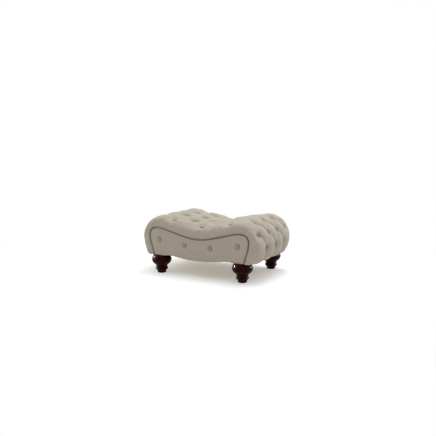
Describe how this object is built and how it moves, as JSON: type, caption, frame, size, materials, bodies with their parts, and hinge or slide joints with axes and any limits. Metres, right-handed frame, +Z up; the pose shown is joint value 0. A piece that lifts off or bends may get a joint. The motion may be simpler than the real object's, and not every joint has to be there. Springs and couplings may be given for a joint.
{
  "type": "footstool",
  "caption": "Deep-buttoned saddle footstool with rolled ends, nail-trimmed saddle facings, a padded frame and turned bun feet.",
  "frame": {"origin": "on the floor under the middle of the seat", "axes": "+X along the stool, -Y out of the front facing, +Z up"},
  "size_m": [0.865, 0.5644, 0.3803],
  "materials": {
    "upholstery": "matte",
    "button_cloth": "matte",
    "nail_heads": "satin",
    "feet": "gloss",
    "glide_felt": "matte",
    "plywood": "matte",
    "frame_wood": "matte",
    "foam": "matte",
    "webbing": "matte",
    "hessian": "matte",
    "dust_cloth": "matte",
    "steel": "satin"
  },
  "bodies": {
    "root": {"back_board_screws": "steel", "back_edge_roll": "foam", "back_facing_board": "plywood", "back_facing_panel": "upholstery", "back_nail_trim": "nail_heads", "back_panel_buttons": "button_cloth", "back_rail": "frame_wood", "back_tack_batten": "frame_wood", "centre_stretcher": "frame_wood", "corner_block_back_left": "frame_wood", "corner_block_back_right": "frame_wood", "corner_block_front_left": "frame_wood", "corner_block_front_right": "frame_wood", "dust_cover": "dust_cloth", "floor_glides": "glide_felt", "foot_back_left": "feet", "foot_back_right": "feet", "foot_front_left": "feet", "foot_front_right": "feet", "frame_dowels": "frame_wood", "front_board_screws": "steel", "front_edge_roll": "foam", "front_facing_board": "plywood", "front_facing_panel": "upholstery", "front_nail_trim": "nail_heads", "front_panel_buttons": "button_cloth", "front_rail": "frame_wood", "front_tack_batten": "frame_wood", "hanger_bolts": "steel", "hessian": "hessian", "left_end_buttons": "button_cloth", "left_end_rail": "frame_wood", "left_end_webbing": "webbing", "left_roll_rail": "frame_wood", "right_end_buttons": "button_cloth", "right_end_rail": "frame_wood", "right_end_webbing": "webbing", "right_roll_rail": "frame_wood", "seat_buttons": "button_cloth", "seat_foam": "foam", "seat_webbing": "webbing", "threaded_inserts": "steel", "tufted_cover": "upholstery"}
  },
  "joints": []
}
